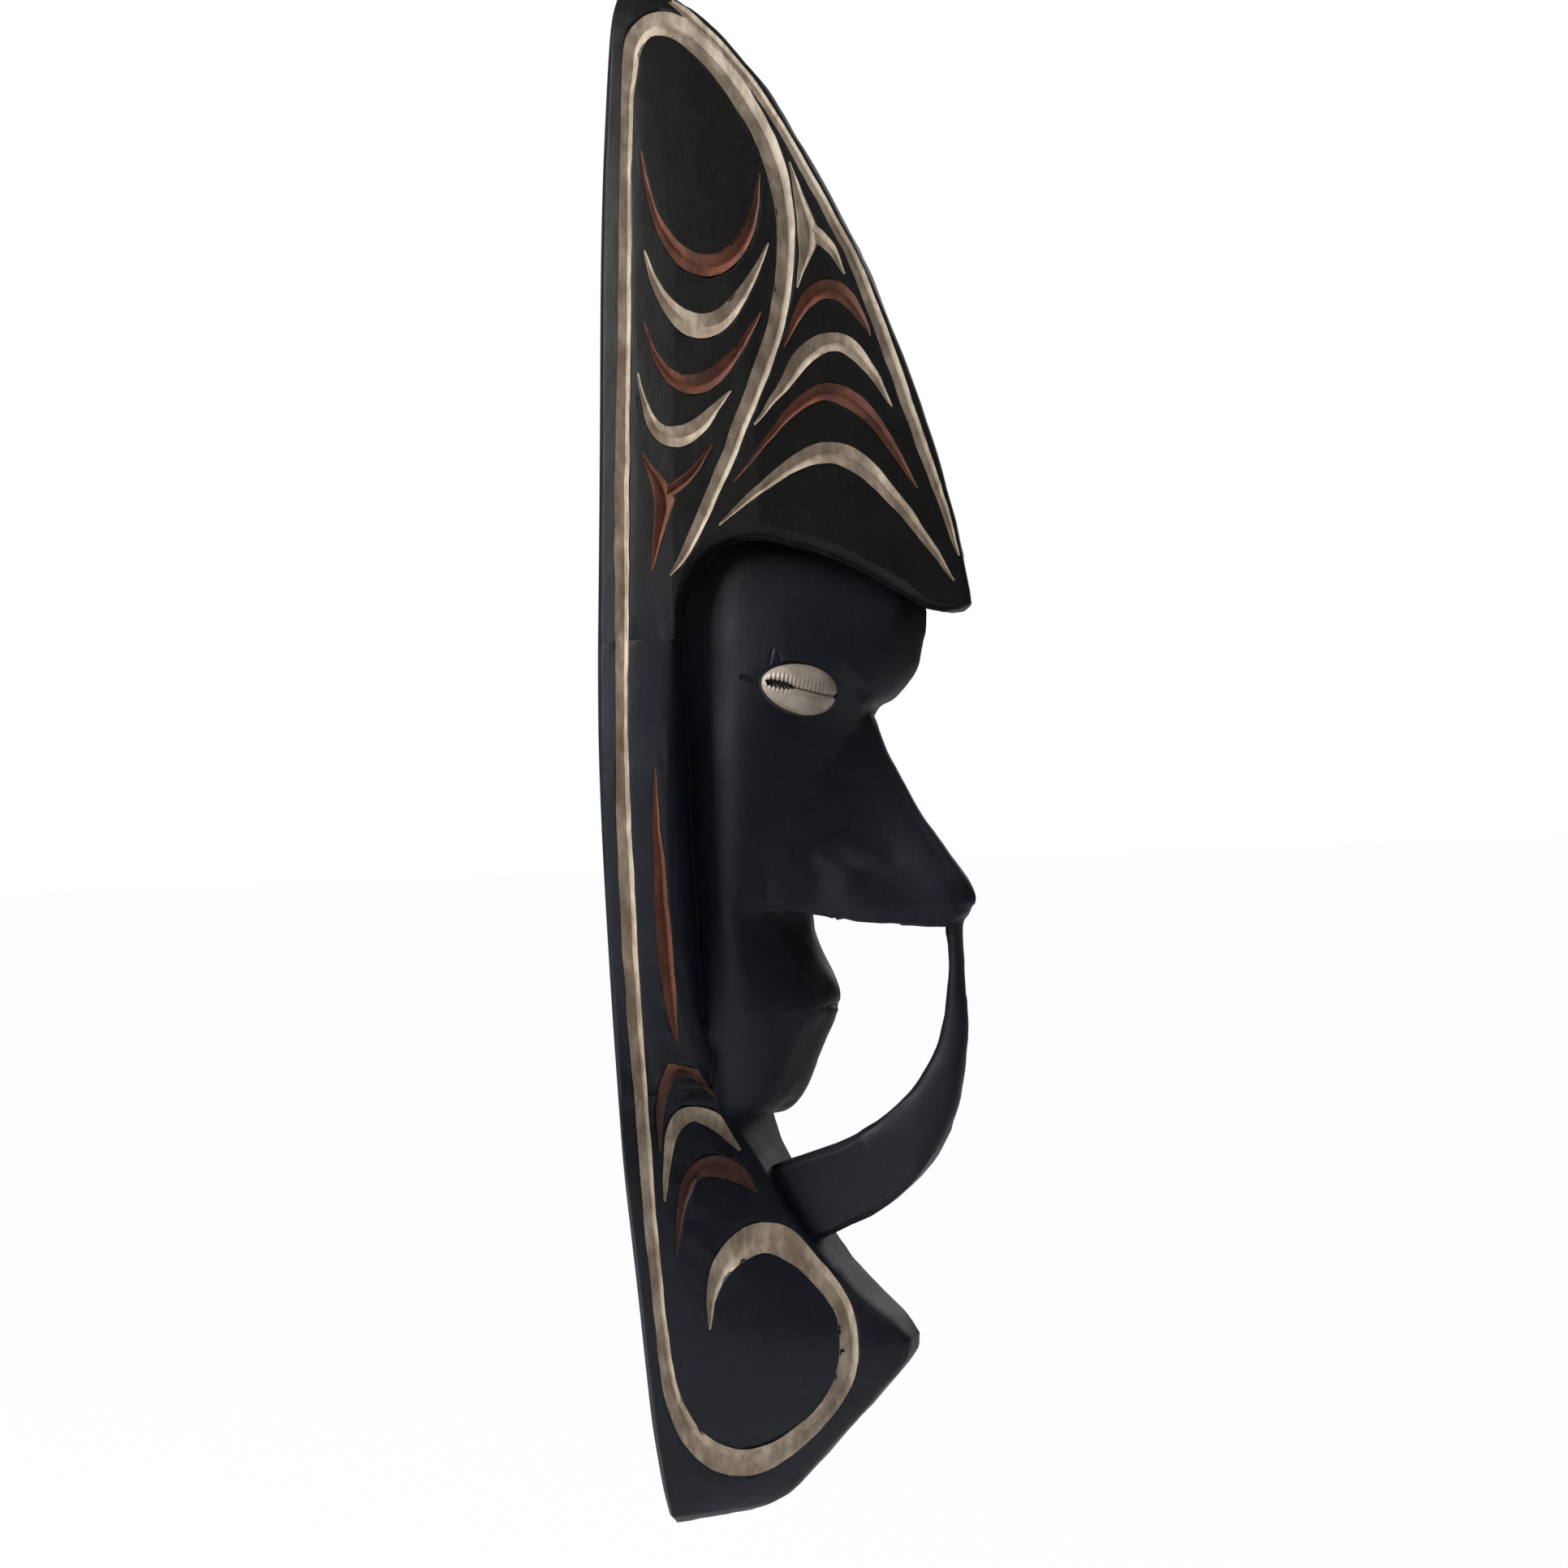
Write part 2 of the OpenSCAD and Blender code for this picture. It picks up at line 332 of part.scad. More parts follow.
// two strokes that meet: the paint follows the walls of both
module paint_fork(p, q) {
  difference() {
    union() {
      vee_fill(p, 0);
      vee_fill(q, fork_step);
    }
    vee_air(p);
    vee_air(q);
  }
}
module vee_fill(p, proud) {
  skin([for (v = vee(p)) [side(v[0], -proud), side(v[1], v[3]), side(v[2], -proud)]]);
}
module vee_air(p) {
  skin([for (v = vee(p))
    let (b = side(v[1], v[3] * (1 - paint_share)), k = 1 + max(0.3, 0.35 / v[3]),
         e = side(v[0], 0), g = side(v[2], 0), lip = (g - e) * paint_lip)
    [b + (e + lip - b) * k, b, b + (g - lip - b) * k, side(v[1], -1.6)]]);
}

// bevel along the lower edge of the brim, fading out over the flange
function brim_edge() = let (n = len(brim_low) - 3) [for (i = [1:n])
  [brim_low[i][0] + 0.3, brim_low[i][1] + brim_lip,
   min(brim_bevel, 0.6 + 0.9 * (i - 1), 0.6 + 1.3 * (n - i))]];

module all_channels() {
  channel(brim_edge());
  channel(back_line);
  channel(front_line);
  for (p = concat(lime, ochre)) channel(p);
}

// ---- eyes ----
module at_eye(s) {
  translate([s * eye_x * sx, -eye_f * sf, (eye_h - nail_h) * sz])
    rotate([0, 0, s * (90 - eye_yaw)])
      rotate([90, 0, 0])
        rotate([0, 0, s * eye_drop])
          scale([s, 1, 1])
            children();
}
// egg outline of the shell along its length, blunt end first
shell_form = [[-1, 0.1], [-0.93, 0.4], [-0.78, 0.7], [-0.52, 0.92], [-0.2, 1], [0.15, 0.96],
              [0.48, 0.8], [0.76, 0.55], [0.93, 0.3], [1, 0.1]];
module shell() {
  skin([for (r = shell_form)
    let (x = r[0] * shell_l / 2, w = r[1] * shell_w / 2, t = pow(r[1], 0.8) * shell_t / 2,
         g = abs(r[0]) > 0.95 ? 0.02 : 0.035 - 0.02 * r[0], lip = r[1] * 1.1)
    concat([[x, 0, t - lip * (abs(r[0]) > 0.95 ? 0.2 : 1)]],
           [for (a = [83, 62, 38, 14, -15, -45, -70]) [x, w * cos(a) + g, t * sin(a)]],
           [[x, 0, -t]],
           [for (a = [-110, -135, -165, 166, 142, 118, 97]) [x, w * cos(a) - g, t * sin(a)]])]);
}
module bed(extra = 0) {
  scale([shell_l / 2 + putty_w + extra, shell_w / 2 + putty_w + extra,
         shell_t / 2 + putty_w + extra])
    sphere(r = 1, $fn = 18);
}

// ---- pieces ----
module carved_body() {
  color([0.1, 0.1, 0.11])
    difference() {
      resize([0, 0, mask_h])
        difference() {
          union() {
            difference() {
              skin([for (h = board_h) ring(board_half(h), h)]);
              across(concat(brim_low, [[brim_out, brow_h], [brim_low[0][0], brow_h]]));
              skin([for (q = cove) ring(cove_half(q[0], q[1]), q[0])]);
            }
            skin([for (r = face) ring(face_half(r[1]), r[0])]);
            difference() {
              skin([for (r = nose) ring(nose_half(r[1]), r[0])]);
              across(nose_low);
            }
            skin(tie_rings(tie));
          }
          skin([for (r = hollow) ring(hollow_half(r[0], r[1]), r[0])]);
          all_channels();
          mirror([1, 0, 0]) all_channels();
          at_eye(1) bed();
          at_eye(-1) bed();
        }
      rotate([-90, 0, 0])
        translate([0, 0, -nail_depth])
          cylinder(d = nail_d, h = nail_depth + over, $fn = 48);
    }
}
module lime_set() {
  paint(back_line);
  paint(front_line);
  for (i = [2:len(lime) - 1]) paint(lime[i]);
  paint_fork(lime[0], lime[1]);
}
module ochre_set() {
  for (i = [2:len(ochre) - 1]) paint(ochre[i]);
  paint_fork(ochre[0], ochre[1]);
}
module lime_inlay_left() {
  color([0.8, 0.74, 0.62]) resize([0, 0, 0]) lime_set();
}
module lime_inlay_right() {
  color([0.8, 0.74, 0.62]) resize([0, 0, 0]) mirror([1, 0, 0]) lime_set();
}
module ochre_inlay_left() {
  color([0.55, 0.24, 0.14]) resize([0, 0, 0]) ochre_set();
}
module ochre_inlay_right() {
  color([0.55, 0.24, 0.14]) resize([0, 0, 0]) mirror([1, 0, 0]) ochre_set();
}
module cowrie_left() {
  color([0.9, 0.87, 0.8]) at_eye(1) shell();
}
module cowrie_right() {
  color([0.9, 0.87, 0.8]) at_eye(-1) shell();
}
module eye_putty(s) {
  color([0.16, 0.13, 0.1])
    resize([0, 0, 0])
      at_eye(s)
        difference() {
          bed();
          shell();
          translate([-shell_l, -shell_l, 0.6]) cube([2 * shell_l, 2 * shell_l, shell_l]);
        }
}
module eye_putty_left() {
  eye_putty(1);
}
module eye_putty_right() {
  eye_putty(-1);
}

carved_body();
lime_inlay_left();
lime_inlay_right();
ochre_inlay_left();
ochre_inlay_right();
cowrie_left();
cowrie_right();
eye_putty_left();
eye_putty_right();
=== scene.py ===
# %% [markdown]
# # A carved wooden mask
#
# The mask is one long board of blackened wood: a crest with cut and painted channels, a
# face under its brim, a long nose, and a curved tie from the nose down to the chest.
# Lime white and red ochre lie in the channels, and each eye is a cowrie shell set in gum.
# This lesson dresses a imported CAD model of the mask. Every piece stays where the CAD says.

import math

import bmesh
import bpy
from mathutils import Matrix, Vector, noise
from mathutils.bvhtree import BVHTree


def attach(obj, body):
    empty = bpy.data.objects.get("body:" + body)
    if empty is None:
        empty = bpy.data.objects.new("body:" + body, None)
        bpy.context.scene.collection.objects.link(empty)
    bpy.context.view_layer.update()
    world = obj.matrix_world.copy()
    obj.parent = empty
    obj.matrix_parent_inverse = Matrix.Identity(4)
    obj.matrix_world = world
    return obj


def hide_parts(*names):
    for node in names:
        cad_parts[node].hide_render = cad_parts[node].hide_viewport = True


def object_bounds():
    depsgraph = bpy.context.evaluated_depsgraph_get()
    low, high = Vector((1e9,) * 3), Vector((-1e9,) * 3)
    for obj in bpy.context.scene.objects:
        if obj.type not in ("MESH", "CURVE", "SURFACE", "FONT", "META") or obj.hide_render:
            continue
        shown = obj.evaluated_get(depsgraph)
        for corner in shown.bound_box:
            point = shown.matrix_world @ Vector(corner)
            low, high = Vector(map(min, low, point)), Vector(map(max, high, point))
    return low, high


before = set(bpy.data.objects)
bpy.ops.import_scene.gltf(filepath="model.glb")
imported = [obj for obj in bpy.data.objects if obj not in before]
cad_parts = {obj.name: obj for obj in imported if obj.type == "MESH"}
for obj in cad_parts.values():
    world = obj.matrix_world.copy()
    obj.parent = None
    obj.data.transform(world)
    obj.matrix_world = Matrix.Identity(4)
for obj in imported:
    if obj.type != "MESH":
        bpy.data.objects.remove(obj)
cad_box = [list(corner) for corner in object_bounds()]
MM = 0.001
print("CAD box in mm:", [[round(v / MM, 1) for v in corner] for corner in cad_box])

# %% [markdown]
# ## The camera
#
# The mask is seen from its right side, a little to the front, from about half a metre. A
# short distance makes near things larger, so the camera's place matters more than its
# lens. A small roll leans the board slightly backwards in the frame.

# %% Camera
VIEW_ANGLE, ROLL = math.radians(39.4), math.radians(-2.9)
lens = bpy.data.cameras.new("camera")
lens.angle = VIEW_ANGLE
camera = bpy.data.objects.new("camera", lens)
bpy.context.scene.collection.objects.link(camera)
camera.location = (-0.4886, -0.2088, -0.1622)
aim = Vector((0, -0.0309, -0.1622))
look = (aim - camera.location).to_track_quat("-Z", "Y").to_matrix()
camera.rotation_euler = (look @ Matrix.Rotation(ROLL, 3, "Z")).to_euler()
bpy.context.scene.camera = camera
print("camera is", round((aim - camera.location).length, 3), "m from the mask's middle")

# %% [markdown]
# ## Shader maths in Python
#
# A finish is a small network of nodes. Writing each node by hand hides the idea, so one
# class wraps a socket and turns Python's operators into Math nodes, and one method adds
# any other node: its settings go in first, then what its sockets take.

# %% A socket with operators
class Wire:
    """One output socket of a network. Sums and products of wires add Math nodes."""

    def __init__(self, network, socket):
        self.network = network
        self.socket = socket

    def math(self, operation, *inputs):
        return self.network.node("ShaderNodeMath", {"operation": operation}, inputs)

    def __add__(self, other):
        return self.math("ADD", self, other)

    def __sub__(self, other):
        return self.math("SUBTRACT", self, other)

    def __rsub__(self, other):
        return self.math("SUBTRACT", other, self)

    def __mul__(self, other):
        return self.math("MULTIPLY", self, other)

    __radd__ = __add__
    __rmul__ = __mul__

    def smooth(self, low, high):
        """0 below low, 1 above high, and a soft rise between them."""
        return self.network.node("ShaderNodeMapRange", {"interpolation_type": "SMOOTHSTEP"},
                                 {"Value": self, "From Min": low, "From Max": high})


print("wires add, subtract and multiply")

# %% A network of nodes
class Network:
    """The nodes of a material or of the world."""

    def __init__(self, tree):
        self.tree = tree

    def node(self, kind, settings=None, sockets=None, out=0):
        """Adds a node and gives one of its outputs as a wire."""
        made = self.tree.nodes.new(kind)
        for key, value in (settings or {}).items():
            setattr(made, key, value)
        pairs = sockets.items() if isinstance(sockets, dict) else enumerate(sockets or [])
        for key, value in pairs:
            self.feed(made.inputs[key], value)
        return Wire(self, made.outputs[out])

    def feed(self, socket, value):
        if isinstance(value, Wire):
            self.tree.links.new(value.socket, socket)
        elif value is not None:
            socket.default_value = value

    def white_for_camera(self, lit, white, amount):
        """The camera's own rays see white by an amount. All other rays see what is lit."""
        camera_ray = self.node("ShaderNodeLightPath", out="Is Camera Ray")
        return self.node("ShaderNodeMixShader", {}, [camera_ray * amount, lit, white])


print("networks can be built")

# %% A finish
class Finish(Network):
    """A material that is built up in code around one Principled shader."""

    def __init__(self, name, preview):
        self.material = bpy.data.materials.new(name)
        self.material.use_nodes = True
        self.material.diffuse_color = (*preview, 1)
        super().__init__(self.material.node_tree)
        self.shader = self.tree.nodes["Principled BSDF"]

    def set(self, **values):
        for key, value in values.items():
            self.feed(self.shader.inputs[key.replace("_", " ")], value)

    def here(self):
        """The point on the piece, in metres."""
        return self.node("ShaderNodeTexCoord", out="Object")

    def axis(self, name):
        return self.node("ShaderNodeSeparateXYZ", {}, [self.here()], out=name)

    def attribute(self, name):
        """A number that the mesh keeps for each point."""
        return self.node("ShaderNodeAttribute", {"attribute_name": name}, out="Fac")

    def noise(self, size, stretch=(1, 1, 1), detail=3, rough=0.55):
        """Cloudy noise whose lumps are about size across, in metres."""
        place = self.node("ShaderNodeMapping", {}, {"Vector": self.here(), "Scale": stretch})
        return self.node("ShaderNodeTexNoise", {}, {"Vector": place, "Scale": 1 / size,
                                                    "Detail": detail, "Roughness": rough})

    def blend(self, amount, first, second):
        """A colour between two colours."""
        first, second = ((*colour, 1) if isinstance(colour, tuple) else colour
                         for colour in (first, second))
        return self.node("ShaderNodeMix", {"data_type": "RGBA"},
                         {0: amount, 6: first, 7: second}, out=2)

    def bump(self, height, depth, below=None):
        """A normal tilted by a height between 0 and 1 that stands for depth in metres."""
        return self.node("ShaderNodeBump", {}, {"Height": height, "Distance": depth,
                                                "Strength": 1.0, "Normal": below})

    def vector(self, operation, sockets, out=0):
        return self.node("ShaderNodeVectorMath", {"operation": operation}, sockets, out)

    def stroke(self, start, end, width):
        """1 on a short line across the mask's sides, 0 at width in metres from it."""
        start, end = (Vector((0, *point)) * MM for point in (start, end))
        along = end - start
        side_view = self.vector("MULTIPLY", [self.here(), (0, 1, 1)])
        offset = self.vector("SUBTRACT", [side_view, start])
        part = self.vector("DOT_PRODUCT", [offset, along / along.length_squared], "Value")
        part = self.node("ShaderNodeClamp", {}, [part])
        nearest = self.vector("SCALE", {"Vector": along, "Scale": part})
        away = self.vector("DISTANCE", [offset, nearest], "Value")
        return 1 - away.smooth(0, width)


print("shader helpers ready")

# %% [markdown]
# ## Black wood
#
# The wood is stained almost black and rubbed to a low sheen. Up close it isn't one black.
# The crest is painted a warm brown black and the face a blue black. This is painted light,
# standing for warmer light from above and cool light from below, so the change from face to
# crest follows height. Fine grey dust lies over both. Proud edges are painted greyer, partly
# as rubbed wear and partly as a painted highlight where an edge catches the light. For the
# edges, a Bevel node rounds the normal, and where that differs from the true normal there
# is an edge. It would find hollow corners too, which nothing rubs, so the mesh marks those
# as valleys further down, and the finish leaves them out.

# %% Black wood colour
# painted light: blue black stands for cool light from below, brown black for warmer light from
# above
BLUE_BLACK, BROWN_BLACK = (0.0048, 0.0062, 0.0105), (0.0040, 0.0032, 0.0026)
# the edge grey is partly rubbed wear and partly a painted highlight of edges catching light
DUST_GREY, RUBBED_AND_LIT_GREY = (0.022, 0.021, 0.022), (0.050, 0.046, 0.045)
CREST_LOW, CREST_HIGH = -0.14, -0.09
wood = Finish("black_wood", (0.02, 0.02, 0.022))
cloud = wood.noise(0.03, detail=2)
# painted light by height: the tint turns from the cool lower black to the warm upper black
crest = (wood.axis("Z") + (cloud - 0.5) * 0.06).smooth(CREST_LOW, CREST_HIGH)
base = wood.blend(crest, BLUE_BLACK, BROWN_BLACK)
dust = wood.noise(0.0011, (1, 1, 0.3), detail=4, rough=0.7)
base = wood.blend(dust.smooth(0.5, 0.78) * 0.35, base, DUST_GREY)
round_normal = wood.node("ShaderNodeBevel", {"samples": 4}, {"Radius": 0.7 * MM})
true_normal = wood.node("ShaderNodeNewGeometry", out="Normal")
alike = wood.vector("DOT_PRODUCT", [round_normal, true_normal], "Value")
# proud edges turn greyer: partly rubbed wear, partly a painted highlight where an edge catches
# the light
rubbed_and_lit_edges = (1 - alike).smooth(0.01, 0.09) * wood.noise(0.004, detail=3).smooth(0.38, 0.66)
rubbed_and_lit_edges = rubbed_and_lit_edges * (1 - wood.attribute("valley"))
base = wood.blend(rubbed_and_lit_edges * 0.5, base, RUBBED_AND_LIT_GREY)
wood.set(Base_Color=base)
print("wood colour has", len(wood.tree.nodes), "nodes")

# %% [markdown]
# The sheen comes from a nearly even, medium roughness. Layers of bump lie on the rounded
# normal, each on the one before: broad, flat marks of the gouge, a groove at the eye's
# corner, two slips of the knife above it, and a fine grain that runs up the board. They
# are too shallow to be worth cutting into the mesh.

# %% Black wood sheen and grain
TOOL_MARKS = [
    # start and end as (y, z), width and depth, all in mm
    ((-34.6, -138.9), (-31.0, -137.5), 0.8, 1.0),
    ((-37.2, -134.8), (-37.9, -131.6), 0.6, 0.18),
    ((-39.6, -134.0), (-39.1, -132.2), 0.5, 0.2),
]
GOUGE_DEPTH, GRAIN_DEPTH = 0.16 * MM, 0.05 * MM
patches = wood.noise(0.012, detail=3)
grain = wood.noise(0.0009, (1, 1, 0.06), detail=3, rough=0.6)
tooling = wood.noise(0.007, (1, 1, 0.55), detail=1, rough=0.4)
pores = wood.noise(0.0006, (1, 1, 0.5), detail=2, rough=0.6)
relief = wood.bump(tooling, GOUGE_DEPTH, round_normal)
for start, end, width, depth in TOOL_MARKS:
    relief = wood.bump(wood.stroke(start, end, width * MM), -depth * MM, relief)
relief = wood.bump(grain * 0.7 + pores * 0.3, GRAIN_DEPTH, relief)
wood.set(Roughness=0.38 + patches * 0.12 + grain * 0.08, Normal=relief,
         Specular_IOR_Level=0.22)
print("wood finish has", len(wood.tree.nodes), "nodes")

# %% [markdown]
# ## Lime and ochre
#
# Both paints are ground earth in thin gum: matt, faintly streaked, thin enough in places
# that the dark wood stains them, and scuffed. One function makes both, because little more
# than the colours differs: low on the chest the ochre is darkened towards its stain colour.

# %% Earth paints
def earth_paint(name, pale, deep, stain, dull_below=None):
    """A matt paint. Below the two heights in worn, most of its colour is gone."""
    paint = Finish(name, pale)
    wash = paint.noise(0.006, (1, 1, 0.5), detail=4, rough=0.6)
    streak = paint.noise(0.0016, (1, 1, 0.4), detail=3)
    colour = paint.blend((wash * 0.7 + streak * 0.3).smooth(0.38, 0.66), deep, pale)
    if dull_below:
        low, high = dull_below
        # below the two heights the paint turns mostly to the stain colour
        colour = paint.blend(paint.axis("Z").smooth(high, low) * 0.7, colour, stain)
    scuff = paint.noise(0.0024, detail=5, rough=0.7)
    colour = paint.blend(scuff.smooth(0.62, 0.76) * 0.6, colour, stain)
    paint.set(Base_Color=colour, Roughness=0.44 + streak * 0.2, Specular_IOR_Level=0.3,
              Normal=paint.bump(streak * 0.6 + scuff * 0.4, 0.10 * MM))
    print(name, "has", len(paint.tree.nodes), "nodes")
    return paint


lime = earth_paint("lime_paint", pale=(0.45, 0.365, 0.275), deep=(0.21, 0.155, 0.105),
                   stain=(0.09, 0.056, 0.036))
ochre = earth_paint("ochre_paint", pale=(0.165, 0.055, 0.028), deep=(0.075, 0.025, 0.015),
                    stain=(0.035, 0.014, 0.010), dull_below=(-0.233, -0.223))

# %% [markdown]
# ## Shell and gum
#
# A cowrie is glazed, warm white, and greyer in patches. The slit is painted nearly black
# inside, a painted shade for the dark hollow of a real shell, and the valleys between the
# ribs are painted darker, as shade in them. The lips carry a brownish tint. So the shell
# mesh stores how deep each point lies and how far down between two ribs, and the finish
# reads both. The gum round it is dark and dull.

# %% Shell finish
GLAZE_PALE, GLAZE_GREY = (0.31, 0.255, 0.205), (0.21, 0.168, 0.128)
RIB_SHADE, LIP_BROWN, SLIT_PAINTED_SHADE = (0.17, 0.12, 0.085), (0.10, 0.058, 0.038), (0.010, 0.007, 0.006)
shell = Finish("shell", (0.78, 0.72, 0.64))
slit_depth, rib_valley = shell.attribute("slit_depth"), shell.attribute("rib_valley")
clouds = shell.noise(0.005, detail=3)
glaze = shell.blend(clouds.smooth(0.35, 0.65), GLAZE_PALE, GLAZE_GREY)
# painted shade: the valleys between the ribs are darker, as shade falls in them
glaze = shell.blend(rib_valley * 0.45, glaze, RIB_SHADE)
glaze = shell.blend(slit_depth.smooth(0.06, 0.30) * 0.75, glaze, LIP_BROWN)
# painted shade: the deepest part of the slit turns nearly black, for the shade in the shell's
# hollow
glaze = shell.blend(slit_depth.smooth(0.35, 0.62), glaze, SLIT_PAINTED_SHADE)
shell.set(Base_Color=glaze, Roughness=0.34 + clouds * 0.1)
print("shell has", len(shell.tree.nodes), "nodes")

# %% Gum finish
gum = Finish("gum", (0.03, 0.025, 0.02))
lumps = gum.noise(0.0014, detail=3)
resin = gum.blend(lumps.smooth(0.4, 0.6), (0.006, 0.0055, 0.0055), (0.016, 0.013, 0.012))
gum.set(Base_Color=resin, Roughness=0.5 + lumps * 0.2, Normal=gum.bump(lumps, 0.12 * MM))
print("gum has", len(gum.tree.nodes), "nodes")

# %% [markdown]
# ## Copies of the CAD pieces
#
# A CAD piece arrives as loose triangles, so it shades flat and can't be smoothed. A copy
# is welded first. Edges sharper than a limit then stay sharp, and the rest shade smoothly,
# as sanded wood does.

# %% Weld a copy of a node
def welded(node):
    """A bmesh of a CAD node with its loose triangles joined."""
    bm = bmesh.new()
    bm.from_mesh(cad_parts[node].data)
    bmesh.ops.remove_doubles(bm, verts=bm.verts, dist=0.001 * MM)
    return bm


def plain_mesh(bm, name):
    """A mesh from a bmesh, without the normals that were stored for the flat triangles."""
    mesh = bpy.data.meshes.new(name)
    bm.to_mesh(mesh)
    bm.free()
    for stored in ("custom_normal", "normal"):
        if stored in mesh.attributes:
            mesh.attributes.remove(mesh.attributes[stored])
    return mesh


print("copies can be made of", len(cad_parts), "CAD nodes")

# %% Shade a copy and make it a piece
def shade(bm, limit=180):
    """Smooth shading, with a sharp edge wherever two faces turn more than limit degrees."""
    for face in bm.faces:
        face.smooth = True
    for edge in bm.edges:
        edge.smooth = edge.calc_face_angle(0) < math.radians(limit)


def piece(bm, name, finish, nodes):
    """Turns a bmesh into a piece of the mask that stands for its CAD nodes."""
    mesh = plain_mesh(bm, name)
    mesh.materials.clear()
    mesh.materials.append(finish.material)
    made = bpy.data.objects.new(name, mesh)
    bpy.context.scene.collection.objects.link(made)
    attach(made, "root")
    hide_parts(*nodes)
    print(name, "has", len(mesh.polygons), "faces")


# %% [markdown]
# ## Rounding
#
# Catmull-Clark rounding turns a coarse cage into a flowing surface. Left alone it would
# also melt the knife's crisp lines, so each edge gets a crease from 0 to 1: 0 melts, 1
# stays. No line from a hand is quite true, so one function says how far the hand strays at
# a point. Wood, paint and gum all use it, and so their shared edges stay together. Left
# alone, Blender seeds this noise from the clock, and each run would carve another mask. A
# fixed seed gives the same mask every time.

# %% The waver of a hand
WAVER_SEED = 1
SLOW_PITCH, SLOW_STRAY = 7 * MM, 0.30
QUICK_PITCH, QUICK_STRAY = 2.6 * MM, 0.12
FLAT_BACK = 4 * MM
noise.seed_set(WAVER_SEED)


def share(value, low, high):
    """0 below low, 1 above high, and even steps between."""
    return min(1, max(0, (value - low) / (high - low)))


def hand_waver(point):
    """How far a carver's hand strays at a point. The flat back stays flat."""
    slow = noise.noise_vector(point / SLOW_PITCH) * SLOW_STRAY
    quick = noise.noise_vector(point / QUICK_PITCH) * QUICK_STRAY
    stray = slow + quick
    return Vector((0, stray.y, stray.z)) * MM * share(-point.y, 0, FLAT_BACK)


print("a hand strays by at most", round(SLOW_STRAY + QUICK_STRAY, 2), "mm each way")

# %% Round a welded copy
ROUNDING_LEVELS = 2


def join_flat(bm, turn, skew):
    """Joins pairs of triangles that turn and skew by less than so many degrees."""
    bmesh.ops.join_triangles(bm, faces=bm.faces, angle_face_threshold=math.radians(turn),
                             angle_shape_threshold=math.radians(skew))


def rounded(bm, name, crease_of, keep=1.0):
    """Catmull-Clark rounding of a bmesh. Keep is the share of the triangles that stay."""
    crease = bm.edges.layers.float.new("crease_edge")
    for edge in bm.edges:
        edge[crease] = crease_of(edge)
    holder = bpy.data.objects.new(name + "_rough", plain_mesh(bm, name + "_rough"))
    bpy.context.scene.collection.objects.link(holder)
    smoother = holder.modifiers.new("rounder", "SUBSURF")
    smoother.levels = smoother.render_levels = ROUNDING_LEVELS
    if keep < 1:
        thinner = holder.modifiers.new("thinner", "DECIMATE")
        thinner.ratio = keep
    bpy.context.view_layer.update()
    ready = holder.evaluated_get(bpy.context.evaluated_depsgraph_get())
    bm = bmesh.new()
    bm.from_mesh(ready.to_mesh())
    bpy.data.objects.remove(holder)
    return bm


print("rounding with", ROUNDING_LEVELS, "levels")

# %% [markdown]
# ## The carved board
#
# The board has two kinds of edge. A knife leaves crisp edges: the channel walls, the brim,
# the rim, the foot and the two lines down the chest's front. A gouge and sandpaper leave
# soft ones: cheeks, brow, nose. The crease of an edge therefore depends on where it lies
# and on how far its two faces turn. Places on the mask are named by reach, forward of the
# back, and height above the foot, because that is how a carver would measure them.

# %% Where the edges are soft
FOOT = -333 * MM
FACE_LOW, FACE_HIGH = -243 * MM, -129 * MM
FACE_WIDE, FACE_BACK = 34 * MM, -14.5 * MM
EYE = Vector((18.6, -42.4, -140.6)) * MM
SOCKET = 11.5 * MM
print("face from", round((FACE_LOW - FOOT) / MM), "to", round((FACE_HIGH - FOOT) / MM), "mm up")


def in_face(point):
    """True in the face between the side flanges, but not in an eye socket."""
    near_eye = (Vector((abs(point.x), point.y, point.z)) - EYE).length < SOCKET
    inside = abs(point.x) < FACE_WIDE and point.y < FACE_BACK
    return FACE_LOW < point.z < FACE_HIGH and inside and not near_eye


def reach_height(point):
    """Reach forward of the back and height above the foot, in mm."""
    return -point.y / MM, (point.z - FOOT) / MM


# %% How crisp each edge stays
FACE_CREASE = 0.55  # the most that an edge of the face gets
# an edge begins to be crisp at the first number of degrees and is fully so at the second
FACE_TURN, FOOT_TURN, FRONT_TURN, OTHER_TURN = (52, 95), (12, 20), (12, 18), (24, 34)
FOOT_TOP, CHEST_TOP = 7, 96
FRONT_BACK, FRONT_INNER, FRONT_OUTER = 15, 3, 13
LEVEL_SHARE = 0.3


def wood_crease(edge):
    """How crisp an edge of the board stays, from how many degrees its faces turn."""
    angle = math.degrees(edge.calc_face_angle(0))
    middle = (edge.verts[0].co + edge.verts[1].co) / 2
    run = edge.verts[0].co - edge.verts[1].co
    reach, high = reach_height(middle)
    if in_face(middle):
        return FACE_CREASE * share(angle, *FACE_TURN)
    if high < FOOT_TOP:
        return share(angle, *FOOT_TURN)
    beside_middle = FRONT_INNER < abs(middle.x) / MM < FRONT_OUTER
    on_chest_front = high < CHEST_TOP and reach > FRONT_BACK and beside_middle
    if on_chest_front and abs(run.x) < LEVEL_SHARE * run.length:
        return share(angle, *FRONT_TURN)
    return share(angle, *OTHER_TURN)


print("an edge of the face gets a crease of at most", FACE_CREASE)

# %% [markdown]
# The cage is all triangles, which round badly. So flat neighbours are first joined into
# four-sided faces. Rounding then makes far more faces than a plain surface needs, and a
# fifth of them goes again, so that the board stays light.

